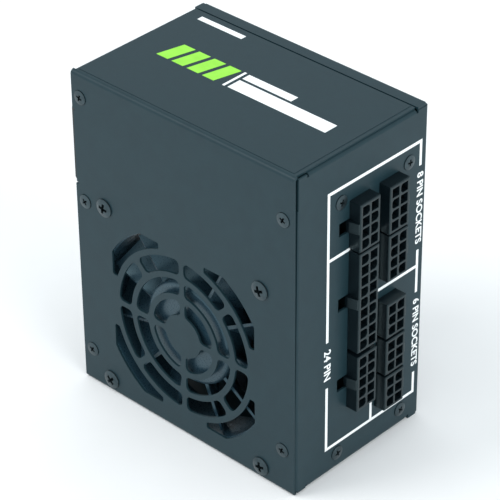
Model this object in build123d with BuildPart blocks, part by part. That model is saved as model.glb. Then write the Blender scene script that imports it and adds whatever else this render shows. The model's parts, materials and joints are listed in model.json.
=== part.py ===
from build123d import *
import math
import os

# Compact power supply with plug-in output sockets, standing on one of its narrow sides.
# X runs along the depth: mains face at -X, socket face at +X.
# Y runs through the thickness: fan face at -Y, back plate at +Y.
# Z runs up the width. The origin is the middle of the face that it stands on.

# Overall sizes
case_depth = 100.0
case_thickness = 63.5
case_width = 125.0

# Folded sheet steel
sheet = 0.8
cover_bend = 1.5
shell_bend = 1.1
flange_width = 8.4
strip_width = 5.1
strip_gap = 0.65
strip_end = 1.3
strip_tip = 0.15
lap_width = 6.0
edge_gap = 0.1
relief = 0.8
cover_front_gap = 0.5
panel_gap_open = 0.75
panel_gap_wide = 0.5
panel_gap_narrow = 0.1
panel_gap_end_z = 15.0

# Fan and its grille
fan_offset_x = -0.8
fan_size = 80.0
fan_thickness = 15.0
fan_side_gap = 0.2
fan_bore_wall = 2.0
fan_screw_inset = 4.25
fan_flange = 3.0
fan_hub_radius = 19.5
fan_shaft_radius = 1.5
running_clearance = 0.05
blade_count = 11
blade_angle = -44.5
grille_spoke = 2.1
grille_diagonal = 2.4
grille_slot = 5.9
grille_pitch = 8.1
grille_overlap = 0.3
grille_flat_inset = 5.3
grille_corner_start = 10.4
grille_corner_radius = 0.8
grille_slot_radius = 1.9

# Output sockets
pin_pitch = 4.2
pin_cell = 3.4
pin_size = 1.1
socket_wall = 1.0
socket_length = 12.8
socket_stand_out = 4.6
socket_play = 0.15
cell_depth = 9.5
pin_recess = 2.6
latch_width = 4.0
latch_height = 1.3
latch_length = 5.0
latch_notch = 5.0
board_thickness = 1.6
fan_side_column_y = -1.25
back_side_column_y = 13.1
socket_top_gap = 19.9

# Mains inlet, switch and mounting holes
inlet_from_top = 29.25
inlet_y = -19.0
inlet_body = (20.0, 27.6)
inlet_cavity = (16.3, 24.0)
inlet_bezel = (22.6, 30.6)
bezel_thickness = 1.8
inlet_depth = 20.0
inlet_cavity_depth = 17.0
switch_y = 9.5
switch_body = (12.8, 19.4)
switch_bezel = (15.0, 21.4)
switch_cavity = (10.0, 17.6)
switch_depth = 15.0
rocker_tilt = 12.0
rocker_pin_radius = 1.25
mount_spacing = (51.5, 113.0)
mount_hole_radius = 1.45
mount_collar_radius = 2.4
vent_pitch = 6.0
vent_across_flats = 4.9
vent_count = (8, 13)

# Main board
board_y = 24.5
board_margin_z = 4.0
board_rear_gap = 6.0
board_front_gap = 14.5
standoff_radius = 2.5

# Faces and centres that follow from the sizes above
rear_x = -case_depth / 2
front_x = case_depth / 2
fan_y = -case_thickness / 2
back_y = case_thickness / 2
middle_z = case_width / 2
inlet_z = case_width - inlet_from_top
fan_height_z = sheet + fan_side_gap + fan_size / 2
fan_bore_radius = fan_size / 2 - fan_bore_wall
fan_screw_spacing = fan_size - 2 * fan_screw_inset
cover_edge_y = back_y - strip_width - strip_gap
board_rear_x = rear_x + board_rear_gap
board_front_x = front_x - board_front_gap
socket_front_x = front_x + socket_stand_out
socket_board_x = socket_front_x - socket_length
socket_width = pin_pitch + pin_cell + 2 * socket_wall

fan_face = Plane(origin=(0, fan_y, 0), x_dir=(1, 0, 0), z_dir=(0, -1, 0))
fan_seat = Plane(origin=(fan_offset_x, fan_y + sheet, fan_height_z), x_dir=(1, 0, 0), z_dir=(0, -1, 0))
socket_face = Plane(origin=(front_x, 0, 0), x_dir=(0, 1, 0), z_dir=(1, 0, 0))
rear_face = Plane(origin=(rear_x, 0, 0), x_dir=(0, -1, 0), z_dir=(-1, 0, 0))
board_face = Plane(origin=(0, board_y, 0), x_dir=(1, 0, 0), z_dir=(0, -1, 0))

LOW = (Align.CENTER, Align.CENTER, Align.MIN)
HIGH = (Align.CENTER, Align.CENTER, Align.MAX)

# Fasteners: each spot is a place on the face that the screw's head is seen on
cover_screw_spots = [
    (rear_x + 4.0, case_width - 9.2),
    (rear_x + 4.2, case_width - 49.7),
    (rear_x + 4.3, 13.9),
    (front_x - 5.0, case_width - 17.0),
    (front_x - 5.4, 17.1),
]
socket_screw_spots = [
    (-10.2, case_width - 18.6),
    (22.8, case_width - 18.8),
    (-10.6, 6.7),
    (21.8, 6.9),
]
flat_head_radius = 2.7
flat_head_height = 1.3
raised_head_radius = 2.6
raised_head_height = 0.5
small_shank_radius = 1.45
cover_screw_length = 5.0
socket_screw_length = 5.5
fan_screw_head_radius = 3.4
fan_screw_head_height = 1.1
fan_screw_shank_radius = 2.1
fan_screw_length = 10.0


def block(x0, x1, y0, y1, z0, z1, mode=Mode.ADD):
    """A box between two corners of the shared frame."""
    with Locations(((x0 + x1) / 2, (y0 + y1) / 2, (z0 + z1) / 2)):
        Box(x1 - x0, y1 - y0, z1 - z0, mode=mode)


def patch(u0, u1, v0, v1, mode=Mode.ADD):
    """A rectangle between two corners of the sketch."""
    with Locations(((u0 + u1) / 2, (v0 + v1) / 2)):
        Rectangle(u1 - u0, v1 - v0, mode=mode)


def cross_recess(span, width, depth):
    """A cross cut down from the top of a screw's head."""
    Box(span, width, depth, align=HIGH, mode=Mode.SUBTRACT)
    Box(width, span, depth, align=HIGH, mode=Mode.SUBTRACT)


def flat_screw(place, length, finished):
    """A countersunk screw with its tip behind the place; the finished one has a low raised top."""
    with BuildPart(place) as screw:
        Cone(small_shank_radius, flat_head_radius, flat_head_height, align=HIGH)
        Cylinder(small_shank_radius, length, align=HIGH)
        if finished:
            Cylinder(raised_head_radius, raised_head_height / 2, align=LOW)
            with Locations((0, 0, raised_head_height / 2)):
                Cone(raised_head_radius, raised_head_radius - 0.4, raised_head_height / 2, align=LOW)
            with Locations((0, 0, raised_head_height)):
                cross_recess(2.6, 0.8, 1.2)
    return screw.part


def pan_screw(place, head_radius, head_height, shank_radius, length):
    """A screw with a domed head that faces the fan side, standing on the place."""
    with BuildPart(place) as screw:
        Cylinder(head_radius, head_height, align=LOW)
        fillet(screw.edges().filter_by(GeomType.CIRCLE).sort_by(Axis.Y)[0], head_height * 0.55)
        Cylinder(shank_radius, length, align=HIGH)
        with Locations((0, 0, head_height)):
            cross_recess(head_radius * 1.15, 0.9, head_height * 0.6)
    return screw.part


def screws_at(face, spots, length, finished):
    """Countersunk screws at the spots on a face."""
    screws = []
    for u, v in spots:
        place = Plane(origin=face.from_local_coords((u, v, 0)), x_dir=face.x_dir, z_dir=face.z_dir)
        screws.append(flat_screw(place, length, finished))
    return screws


cover_screw_seats = screws_at(fan_face, cover_screw_spots, cover_screw_length, False)
socket_screw_seats = screws_at(socket_face, socket_screw_spots, socket_screw_length, False)

# Output sockets: each column is a stack from the top down of (name, rows, gap above it).
fan_side_stack = [
    ("processor_socket_1", 4, 0.0),
    ("main_socket_18_pin", 9, 0.7),
    ("main_socket_10_pin", 5, 1.7),
]
back_side_stack = [
    ("processor_socket_2", 4, 0.0),
    ("processor_socket_3", 4, 0.7),
    ("drive_socket_1", 3, 9.0),
    ("drive_socket_2", 3, 1.1),
    ("drive_socket_3", 3, 1.0),
]


def stack_sockets(stack, column_y, latch_side):
    """Gives each socket of a column its name, rows, column, latch side and centre height."""
    placed = []
    top = case_width - socket_top_gap
    for name, rows, gap in stack:
        length = rows * pin_pitch + pin_cell - pin_pitch + 2 * socket_wall
        top -= gap
        placed.append((name, rows, column_y, latch_side, top - length / 2, length))
        top -= length
    return placed


sockets = stack_sockets(fan_side_stack, fan_side_column_y, -1)
sockets += stack_sockets(back_side_stack, back_side_column_y, 1)

# Openings in the socket panel: sockets that stand close together share one
panel_openings = []
for name, rows, column_y, latch_side, centre_z, length in sockets:
    low_z = centre_z - length / 2 - socket_play
    high_z = centre_z + length / 2 + socket_play
    last = panel_openings[-1] if panel_openings else None
    if last and last[0] == column_y and last[1] - high_z < 2 * sheet:
        panel_openings[-1] = (column_y, low_z, last[2])
    else:
        panel_openings.append((column_y, low_z, high_z))

with BuildPart() as chassis_shell:
    # Rear panel, back plate and socket panel, with a flange along the fan side of both panels
    with BuildSketch(Plane.XY.offset(sheet + edge_gap)) as panels:
        patch(rear_x, front_x, fan_y + sheet, back_y)
        fillet(panels.vertices(), shell_bend)
        offset(amount=-sheet, mode=Mode.SUBTRACT)
        patch(
            rear_x + flange_width,
            front_x - flange_width,
            fan_y,
            fan_y + 4 * sheet,
            mode=Mode.SUBTRACT,
        )
    extrude(amount=case_width - 2 * (sheet + edge_gap))
    # The back plate folds over both long sides as a narrow strip
    with BuildSketch(Plane.YZ.offset(rear_x + strip_end)) as strips:
        patch(back_y - 2 * strip_width, back_y, 0, case_width)
        fillet(strips.vertices().group_by(Axis.X)[-1], shell_bend)
        offset(amount=-sheet, mode=Mode.SUBTRACT)
        patch(back_y - 3 * strip_width, back_y - strip_width, -1, case_width + 1, mode=Mode.SUBTRACT)
    extrude(amount=case_depth - 2 * strip_end)
    # The flat of each strip runs on over the ends of both panels
    for z0, z1 in [(0, sheet), (case_width - sheet, case_width)]:
        block(rear_x + strip_tip, front_x - strip_tip, back_y - strip_width, back_y - shell_bend, z0, z1)
    # A lap inside each strip carries the edge of the cover
    lap_end = rear_x + flange_width + 1.0
    lap_inner_y = cover_edge_y - lap_width
    lap_outer_y = back_y - strip_width + 1.4
    block(lap_end, -lap_end, lap_inner_y, lap_outer_y, sheet, 2 * sheet)
    block(lap_end, -lap_end, lap_inner_y, lap_outer_y, case_width - 2 * sheet, case_width - sheet)
    # The panels fold in under both sides of the cover, with a relief slot at each end of a fold
    flange_low_y = fan_y + 6.3
    flange_high_y = cover_edge_y - 0.2
    for x0, x1 in [(rear_x, rear_x + shell_bend), (front_x - shell_bend, front_x)]:
        for z0, z1 in [(sheet, sheet + shell_bend), (case_width - sheet - shell_bend, case_width - sheet)]:
            block(x0, x1, flange_low_y - relief, flange_high_y + relief, z0, z1, mode=Mode.SUBTRACT)
    with BuildSketch(Plane.XZ.offset(-flange_high_y)) as side_flanges:
        patch(rear_x, front_x, sheet, case_width - sheet)
        fillet(side_flanges.vertices(), shell_bend)
        offset(amount=-sheet, mode=Mode.SUBTRACT)
        patch(rear_x + flange_width, front_x - flange_width, 0, case_width, mode=Mode.SUBTRACT)
        for x0, x1 in [(rear_x, rear_x + flange_width), (front_x - flange_width, front_x)]:
            patch(x0, x1, sheet + 3 * shell_bend, case_width - sheet - 3 * shell_bend, mode=Mode.SUBTRACT)
    extrude(amount=flange_high_y - flange_low_y)
    # Corners beside the bends of the cover are cut back
    bend_room = cover_bend - sheet + edge_gap
    for z0, z1 in [(sheet, sheet + bend_room), (case_width - sheet - bend_room, case_width - sheet)]:
        block(rear_x, front_x, fan_y, fan_y + sheet + bend_room, z0, z1, mode=Mode.SUBTRACT)
    # The fan side flange of the socket panel stops short of the top
    gap_low_z = case_width - 12.5
    block(front_x - flange_width - 1, front_x - sheet, fan_y, fan_y + 2 * sheet, gap_low_z, case_width,
          mode=Mode.SUBTRACT)
    block(front_x - 2 * sheet, front_x + 1, fan_y, fan_y + sheet + panel_gap_open, gap_low_z, case_width,
          mode=Mode.SUBTRACT)
    # Below that the bend stands off the cover by a gap that closes towards the bottom
    with BuildSketch(socket_face) as tapered_gap:
        with BuildLine():
            Polyline(
                (fan_y, gap_low_z),
                (fan_y + sheet + panel_gap_wide, gap_low_z),
                (fan_y + sheet + panel_gap_narrow, panel_gap_end_z),
                (fan_y, panel_gap_end_z),
                close=True,
            )
        make_face()
    extrude(amount=-shell_bend, mode=Mode.SUBTRACT)
    # The fan side flange of the rear panel is cut away beside the inlet
    inlet_low_z = inlet_z - inlet_body[1] / 2 - 0.5
    inlet_high_z = inlet_z + inlet_body[1] / 2 + 0.5
    block(rear_x + sheet, rear_x + flange_width + 1, fan_y, fan_y + 2 * sheet, inlet_low_z, inlet_high_z,
          mode=Mode.SUBTRACT)
    # Threaded collars for the four mounting screws, then every opening in the rear panel
    with BuildSketch(rear_face) as collars:
        with Locations((0, middle_z)):
            with GridLocations(mount_spacing[0], mount_spacing[1], 2, 2):
                Circle(mount_collar_radius)
    extrude(amount=-2.4)
    with BuildSketch(rear_face) as rear_openings:
        with Locations((0, middle_z)):
            with GridLocations(mount_spacing[0], mount_spacing[1], 2, 2):
                Circle(mount_hole_radius)
        with Locations((-inlet_y, inlet_z)):
            Rectangle(inlet_body[0] + 0.3, inlet_body[1] + 0.3)
        with Locations((-switch_y, inlet_z)):
            Rectangle(switch_body[0] + 0.3, switch_body[1] + 0.3)
        with Locations((0, inlet_low_z / 2 + 1.5)):
            with HexLocations(vent_pitch / 2, vent_count[0], vent_count[1]):
                RegularPolygon(vent_across_flats / 2, 6, major_radius=False)
    extrude(amount=-2.5, mode=Mode.SUBTRACT)
    # Openings for the sockets, each with a notch for its plug's latch
    with BuildSketch(socket_face) as socket_openings:
        for column_y, low_z, high_z in panel_openings:
            half = socket_width / 2 + socket_play
            patch(column_y - half, column_y + half, low_z, high_z)
        for name, rows, column_y, latch_side, centre_z, length in sockets:
            reach = column_y + latch_side * (socket_width / 2 + latch_notch / 2)
            with Locations((reach, centre_z)):
                Rectangle(latch_notch, latch_notch)
    extrude(amount=-2 * sheet, mode=Mode.SUBTRACT)
    for seat in cover_screw_seats + socket_screw_seats:
        add(seat, mode=Mode.SUBTRACT)
chassis_shell.part.label = "chassis_shell"

with BuildPart() as fan_cover:
    # Fan face and both long sides, one sheet bent twice
    with BuildSketch(Plane.YZ.offset(rear_x)) as cover_profile:
        patch(fan_y, back_y, 0, case_width)
        fillet(cover_profile.vertices().group_by(Axis.X)[0], cover_bend)
        offset(amount=-sheet, mode=Mode.SUBTRACT)
        patch(cover_edge_y, back_y + 1, -1, case_width + 1, mode=Mode.SUBTRACT)
    extrude(amount=case_depth)
    # The sides stop short of the bends of both panels
    for x0, x1 in [(rear_x - 1, rear_x + shell_bend), (front_x - shell_bend, front_x + 1)]:
        block(x0, x1, fan_y + cover_bend, back_y, -1, case_width + 1, mode=Mode.SUBTRACT)
    # The front edge of the fan face stands back a little from the socket panel
    block(front_x - cover_front_gap, front_x + 1, fan_y - 1, fan_y + cover_bend, -1, case_width + 1,
          mode=Mode.SUBTRACT)
    # Rear edge set back beside the inlet, with a small notch at each end
    with BuildSketch(fan_face) as rear_edge:
        patch(rear_x - 1, rear_x + 0.35, inlet_low_z, inlet_high_z)
        for z in [inlet_low_z, inlet_high_z]:
            patch(rear_x - 1, rear_x + 1.1, z - 0.4, z + 0.4)
    extrude(amount=-sheet, mode=Mode.SUBTRACT)
    # Grille: cut from the outside ring inwards, each with its own spokes
    with BuildSketch(Plane(origin=fan_face.from_local_coords((fan_offset_x, fan_height_z, 0)),
                           x_dir=(1, 0, 0), z_dir=(0, -1, 0))) as grille:
        outermost = fan_bore_radius + grille_overlap
        across_flats = 2 * (outermost - grille_flat_inset)
        Circle(outermost)
        Rectangle(across_flats, across_flats, mode=Mode.INTERSECT)
        Circle(outermost - grille_slot, mode=Mode.SUBTRACT)
        Rectangle(2 * grille_corner_start, fan_size, mode=Mode.SUBTRACT)
        Rectangle(fan_size, 2 * grille_corner_start, mode=Mode.SUBTRACT)
        for number in (1, 2, 3):
            outer = outermost - number * grille_pitch
            Circle(outer)
            Circle(outer - grille_slot, mode=Mode.SUBTRACT)
            if number == 1:
                for angle in (45, 135):
                    Rectangle(2 * outer, grille_diagonal, rotation=angle, mode=Mode.SUBTRACT)
        ring_edge = outermost - (grille_slot + grille_pitch) / 2
        Rectangle(2 * ring_edge, grille_spoke, mode=Mode.SUBTRACT)
        Rectangle(grille_spoke, 2 * ring_edge, mode=Mode.SUBTRACT)
        fillet([v for v in grille.vertices() if math.hypot(v.X, v.Y) < ring_edge], grille_slot_radius)
        fillet([v for v in grille.vertices() if math.hypot(v.X, v.Y) > ring_edge], grille_corner_radius)
    extrude(amount=-sheet, mode=Mode.SUBTRACT)
    with BuildSketch(fan_seat) as fan_screw_holes:
        with GridLocations(fan_screw_spacing, fan_screw_spacing, 2, 2):
            Circle(fan_screw_shank_radius)
    extrude(amount=sheet, mode=Mode.SUBTRACT)
    for seat in cover_screw_seats:
        add(seat, mode=Mode.SUBTRACT)
fan_cover.part.label = "fan_cover"

with BuildPart() as side_label:
    block(rear_x + 2.0, front_x - 2.5, fan_y + 2.2, cover_edge_y - 0.3, case_width, case_width + 0.12)
side_label.part.label = "side_label"

cover_screw_bodies = screws_at(fan_face, cover_screw_spots, cover_screw_length, True)
with BuildPart() as cover_screws:
    for body in cover_screw_bodies:
        add(body)
cover_screws.part.label = "cover_screws"

socket_screw_bodies = screws_at(socket_face, socket_screw_spots, socket_screw_length, True)
with BuildPart() as socket_board_screws:
    for body in socket_screw_bodies:
        add(body)
socket_board_screws.part.label = "socket_board_screws"

fan_screw_bodies = []
for side in (-1, 1):
    for end in (-1, 1):
        centre = fan_seat.from_local_coords(
            (side * fan_screw_spacing / 2, end * fan_screw_spacing / 2, sheet))
        fan_screw_bodies.append(
            pan_screw(
                Plane(origin=centre, x_dir=(1, 0, 0), z_dir=(0, -1, 0)),
                fan_screw_head_radius,
                fan_screw_head_height,
                fan_screw_shank_radius,
                fan_screw_length,
            )
        )
with BuildPart() as fan_screws:
    for body in fan_screw_bodies:
        add(body)
fan_screws.part.label = "fan_screws"

# Fan: depths are measured from the fan's seat on the inside of the cover
rotor_front = 1.6
rotor_rear = fan_thickness - 2.6
rotor_wall = 1.2
shaft_rear = fan_thickness - 1.6
hub_plate_front = fan_thickness - 1.3
bearing_radius = fan_shaft_radius + 1.1
bearing_tube_radius = bearing_radius + 1.0
bearing_front = 6.5
stator_front = 6.6
stator_depth = 3.6
winding_margin = 1.4
boss_radius = fan_shaft_radius + 1.7

with BuildPart() as fan_frame:
    with BuildSketch(fan_seat) as frame_outline:
        RectangleRounded(fan_size, fan_size, 4.0)
        Circle(fan_bore_radius, mode=Mode.SUBTRACT)
    extrude(amount=-fan_thickness)
    chamfer(fan_frame.faces().sort_by(Axis.Y)[0].outer_wire().edges(), cover_bend - sheet)
    # Waist between the two flanges, with a post left round each screw
    with BuildSketch(fan_seat.offset(-fan_flange)) as waist:
        Rectangle(fan_size + 2, fan_size + 2)
        Circle(fan_bore_radius + 1.5, mode=Mode.SUBTRACT)
        with GridLocations(fan_screw_spacing, fan_screw_spacing, 2, 2):
            Circle(4.2, mode=Mode.SUBTRACT)
    extrude(amount=-(fan_thickness - 2 * fan_flange), mode=Mode.SUBTRACT)
    # Four struts hold the motor plate at the rear
    with BuildSketch(fan_seat.offset(-hub_plate_front)) as struts:
        Rectangle(2 * fan_bore_radius + 1, 3.0)
        Rectangle(3.0, 2 * fan_bore_radius + 1)
        Circle(17.0)
    extrude(amount=-(fan_thickness - hub_plate_front))
    with BuildSketch(fan_seat.offset(-bearing_front)) as bearing_tube:
        Circle(bearing_tube_radius)
        Circle(bearing_radius, mode=Mode.SUBTRACT)
    extrude(amount=-(hub_plate_front - bearing_front))
    with BuildSketch(fan_seat) as screw_holes:
        with GridLocations(fan_screw_spacing, fan_screw_spacing, 2, 2):
            Circle(fan_screw_shank_radius)
    extrude(amount=-fan_thickness, mode=Mode.SUBTRACT)
fan_frame.part.label = "fan_frame"


def blade_section(angle, radius, chord, camber, thickness):
    """One cross-section of a blade, square to the radius, front edge leading anticlockwise."""
    out = (math.cos(math.radians(angle)), 0, math.sin(math.radians(angle)))
    along = (-out[2], 0, out[0])
    origin = Vector(fan_seat.origin) + Vector(out) * radius
    front = -(rotor_front + 1.2)
    rear = -(rotor_rear - 0.4)
    middle = (front + rear) / 2
    with BuildSketch(Plane(origin=origin, x_dir=along, z_dir=out)) as section:
        with BuildLine() as foil:
            ThreePointArc((chord / 2, front), (camber, middle), (-chord / 2, rear))
            Line((-chord / 2, rear), (-chord / 2 - thickness, rear + thickness / 3))
            ThreePointArc(
                (-chord / 2 - thickness, rear + thickness / 3),
                (camber - thickness, middle + thickness / 2),
                (chord / 2 - thickness, front + thickness / 4),
            )
            Line((chord / 2 - thickness, front + thickness / 4), (chord / 2, front))
        make_face()
    return section.sketch


blades = []
for number in range(blade_count):
    angle = blade_angle + number * 360 / blade_count
    root = blade_section(angle, fan_hub_radius - 0.9, 7.5, 0.9, 1.3)
    tip = blade_section(angle, fan_bore_radius - 1.6, 13.5, 1.6, 0.9)
    blades.append(loft([root.face(), tip.face()], ruled=True))

with BuildPart() as fan_rotor:
    with BuildSketch(fan_seat.offset(-rotor_front)):
        Circle(fan_hub_radius)
    extrude(amount=-(rotor_rear - rotor_front))
    fillet(fan_rotor.edges().filter_by(GeomType.CIRCLE).sort_by(Axis.Y)[0], 1.8)
    with BuildSketch(fan_seat.offset(-rotor_front - rotor_wall)):
        Circle(fan_hub_radius - rotor_wall)
        Circle(boss_radius, mode=Mode.SUBTRACT)
    extrude(amount=-(rotor_rear - rotor_front), mode=Mode.SUBTRACT)
    with BuildSketch(fan_seat.offset(-rotor_front - 2.6)):
        Circle(boss_radius + 0.8)
    extrude(amount=-(rotor_rear - rotor_front), mode=Mode.SUBTRACT)
    with BuildSketch(fan_seat.offset(-rotor_front - 0.8)):
        Circle(fan_shaft_radius)
    extrude(amount=-4, mode=Mode.SUBTRACT)
    for blade in blades:
        add(blade)
fan_rotor.part.label = "fan_rotor"


def ring(place, outer, inner, depth):
    """A plain ring that starts at the place and runs back from it."""
    with BuildPart() as hoop:
        with BuildSketch(place):
            Circle(outer)
            Circle(inner, mode=Mode.SUBTRACT)
        extrude(amount=-depth)
    return hoop


yoke_radius = fan_hub_radius - rotor_wall
magnet_radius = yoke_radius - 0.8
rotor_yoke = ring(fan_seat.offset(-rotor_front - rotor_wall), yoke_radius, magnet_radius, 9.2)
rotor_yoke.part.label = "rotor_yoke"

magnet_wall = 1.5
magnet_place = fan_seat.offset(-rotor_front - rotor_wall - 0.4)
rotor_magnet = ring(magnet_place, magnet_radius, magnet_radius - magnet_wall, 8.4)
rotor_magnet.part.label = "rotor_magnet"

fan_bearing = ring(
    fan_seat.offset(-bearing_front),
    bearing_radius,
    fan_shaft_radius + running_clearance,
    hub_plate_front - bearing_front,
)
fan_bearing.part.label = "fan_bearing"

with BuildPart() as fan_shaft:
    with BuildSketch(fan_seat.offset(-rotor_front - 0.8)):
        Circle(fan_shaft_radius)
    extrude(amount=-(shaft_rear - rotor_front - 0.8))
fan_shaft.part.label = "fan_shaft"

stator_radius = magnet_radius - magnet_wall - 0.9
with BuildPart() as stator_core:
    with BuildSketch(fan_seat.offset(-stator_front)):
        Circle(stator_radius)
        Circle(stator_radius - 1.8, mode=Mode.SUBTRACT)
        Rectangle(2.4, 2 * stator_radius, rotation=45, mode=Mode.SUBTRACT)
        Rectangle(2.4, 2 * stator_radius, rotation=-45, mode=Mode.SUBTRACT)
        Rectangle(3.0, 2 * stator_radius - 1)
        Rectangle(2 * stator_radius - 1, 3.0)
        Circle(bearing_tube_radius + winding_margin)
        Circle(bearing_tube_radius, mode=Mode.SUBTRACT)
    extrude(amount=-stator_depth)
stator_core.part.label = "stator_core"

with BuildPart() as stator_windings:
    coil_start = bearing_tube_radius + 2.1
    coil_end = stator_radius - 2.7
    with BuildSketch(fan_seat.offset(-stator_front + winding_margin)):
        with PolarLocations((coil_start + coil_end) / 2, 4):
            RectangleRounded(coil_end - coil_start, 7.6, 1.0)
    extrude(amount=-(stator_depth + 2 * winding_margin))
    with BuildSketch(fan_seat.offset(-stator_front)):
        Rectangle(3.0, 2 * stator_radius)
        Rectangle(2 * stator_radius, 3.0)
    extrude(amount=-stator_depth, mode=Mode.SUBTRACT)
stator_windings.part.label = "stator_windings"

fan_circuit_board = ring(fan_seat.offset(-(hub_plate_front - 1.0)), 14.0, bearing_tube_radius, 1.0)
fan_circuit_board.part.label = "fan_circuit_board"

# Mains inlet, snapped into the rear panel
with BuildPart() as inlet_housing:
    with BuildSketch(rear_face):
        with Locations((-inlet_y, inlet_z)):
            RectangleRounded(inlet_bezel[0], inlet_bezel[1], 2.0)
    extrude(amount=bezel_thickness)
    with BuildSketch(rear_face):
        with Locations((-inlet_y, inlet_z)):
            Rectangle(inlet_body[0], inlet_body[1])
    extrude(amount=-inlet_depth)
    with BuildSketch(rear_face.offset(bezel_thickness)) as cavity:
        with Locations((-inlet_y, inlet_z)):
            Rectangle(inlet_cavity[0], inlet_cavity[1])
        chamfer(cavity.vertices().group_by(Axis.X)[-1], 4.6)
    extrude(amount=-inlet_cavity_depth, mode=Mode.SUBTRACT)
    with BuildSketch(rear_face.offset(bezel_thickness)) as inlet_pin_holes:
        for across, along in [(-2.0, -7.0), (-2.0, 7.0), (2.0, 0.0)]:
            with Locations((-inlet_y + across, inlet_z + along)):
                Rectangle(4.0, 2.0)
    extrude(amount=-(inlet_depth + bezel_thickness), mode=Mode.SUBTRACT)
inlet_housing.part.label = "inlet_housing"

inlet_pin_front = -0.6
inlet_pin_length = 25.4
with BuildPart() as inlet_pins:
    with BuildSketch(rear_face.offset(inlet_pin_front)):
        for across, along in [(-2.0, -7.0), (-2.0, 7.0), (2.0, 0.0)]:
            with Locations((-inlet_y + across, inlet_z + along)):
                Rectangle(4.0, 2.0)
    extrude(amount=-inlet_pin_length)
    chamfer(inlet_pins.faces().sort_by(Axis.X)[0].edges(), 0.5)
inlet_pins.part.label = "inlet_pins"

# Rocker switch beside the inlet
rocker_axis_depth = 2.2
with BuildPart() as switch_housing:
    with BuildSketch(rear_face):
        with Locations((-switch_y, inlet_z)):
            RectangleRounded(switch_bezel[0], switch_bezel[1], 1.2)
    extrude(amount=bezel_thickness)
    with BuildSketch(rear_face):
        with Locations((-switch_y, inlet_z)):
            Rectangle(switch_body[0], switch_body[1])
    extrude(amount=-switch_depth)
    with BuildSketch(rear_face.offset(bezel_thickness)):
        with Locations((-switch_y, inlet_z)):
            Rectangle(switch_cavity[0], switch_cavity[1])
    extrude(amount=-(bezel_thickness + 9.0), mode=Mode.SUBTRACT)
    with Locations((rear_x + rocker_axis_depth, switch_y, inlet_z)):
        Cylinder(
            rocker_pin_radius + running_clearance,
            switch_body[0] - 1.0,
            rotation=(90, 0, 0),
            mode=Mode.SUBTRACT,
        )
switch_housing.part.label = "switch_housing"

rocker_half = switch_cavity[1] / 2 - 1.4
rocker_lean = math.radians(rocker_tilt)
rocker_pivot = Plane(
    origin=(rear_x + rocker_axis_depth, switch_y, inlet_z),
    x_dir=(math.sin(rocker_lean), 0, math.cos(rocker_lean)),
    z_dir=(0, 1, 0),
)
with BuildPart() as switch_rocker:
    # Two finger faces that meet in a shallow valley over the pivot
    with BuildSketch(rocker_pivot.offset(-(switch_cavity[0] - 0.7) / 2)) as rocker_side:
        with BuildLine():
            Polyline(
                (-rocker_half, -4.2),
                (0, -3.2),
                (rocker_half, -4.2),
                (rocker_half - 1.2, 0.8),
                (3.4, 3.2),
                (-3.4, 3.2),
                (-rocker_half + 1.2, 0.8),
                close=True,
            )
        make_face()
    extrude(amount=switch_cavity[0] - 0.7)
    with BuildSketch(rocker_pivot.offset(-(switch_body[0] - 1.6) / 2)):
        Circle(rocker_pin_radius)
    extrude(amount=switch_body[0] - 1.6)
switch_rocker.part.label = "switch_rocker"

with BuildPart() as switch_terminals:
    with BuildSketch(rear_face.offset(-switch_depth)):
        with Locations((-switch_y, inlet_z)):
            with GridLocations(6.0, 13.0, 2, 2):
                Rectangle(0.8, 4.8)
    extrude(amount=-6.5)
switch_terminals.part.label = "switch_terminals"

# Main board on four standoffs, with an insulating sheet between it and the back plate
board_high_z = case_width - board_margin_z
standoff_x = (board_rear_x + 5.0, board_front_x - 5.0)
standoff_z = (board_margin_z + 2.6, board_high_z - 2.8)
standoff_spots = [(x, z) for x in standoff_x for z in standoff_z]
back_inner_y = back_y - sheet
standoff_hole_radius = 1.3

with BuildPart() as main_board:
    block(board_rear_x, board_front_x, board_y, board_y + board_thickness, board_margin_z, board_high_z)
    with BuildSketch(board_face):
        with Locations(*standoff_spots):
            Circle(standoff_hole_radius)
    extrude(amount=-board_thickness, mode=Mode.SUBTRACT)
main_board.part.label = "main_board"

with BuildPart() as board_standoffs:
    with BuildSketch(board_face.offset(-board_thickness)):
        with Locations(*standoff_spots):
            Circle(standoff_radius)
            Circle(standoff_hole_radius, mode=Mode.SUBTRACT)
    extrude(amount=-(back_inner_y - board_y - board_thickness))
board_standoffs.part.label = "board_standoffs"

board_screw_bodies = []
for x, z in standoff_spots:
    place = Plane(origin=(x, board_y, z), x_dir=(1, 0, 0), z_dir=(0, -1, 0))
    board_screw_bodies.append(pan_screw(place, 2.4, 1.6, standoff_hole_radius, 5.6))
with BuildPart() as board_screws:
    for body in board_screw_bodies:
        add(body)
board_screws.part.label = "board_screws"

sheet_y = back_inner_y - 2.4
with BuildPart() as insulation_sheet:
    block(board_rear_x - 1, board_front_x + 1, sheet_y, sheet_y + 0.4, board_margin_z - 1, board_high_z + 1)
    with BuildSketch(Plane(origin=(0, sheet_y, 0), x_dir=(1, 0, 0), z_dir=(0, -1, 0))):
        with Locations(*standoff_spots):
            Circle(standoff_radius)
    extrude(amount=-0.4, mode=Mode.SUBTRACT)
insulation_sheet.part.label = "insulation_sheet"

# Places on the main board: mains parts beside the inlet, power parts in the zone under the fan
mains_z = inlet_z
front_zone_x = board_front_x - 15.5
power_zone_z = 41.0
power_zone_top_z = power_zone_z + 38.0
capacitor_radius = 15.0

with BuildPart() as bulk_capacitor:
    with BuildSketch(board_face):
        with Locations((front_zone_x, board_high_z - capacitor_radius - 3.0)):
            Circle(capacitor_radius)
    extrude(amount=42.0)
    fillet(bulk_capacitor.edges().filter_by(GeomType.CIRCLE), 1.2)
bulk_capacitor.part.label = "bulk_capacitor"


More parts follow.
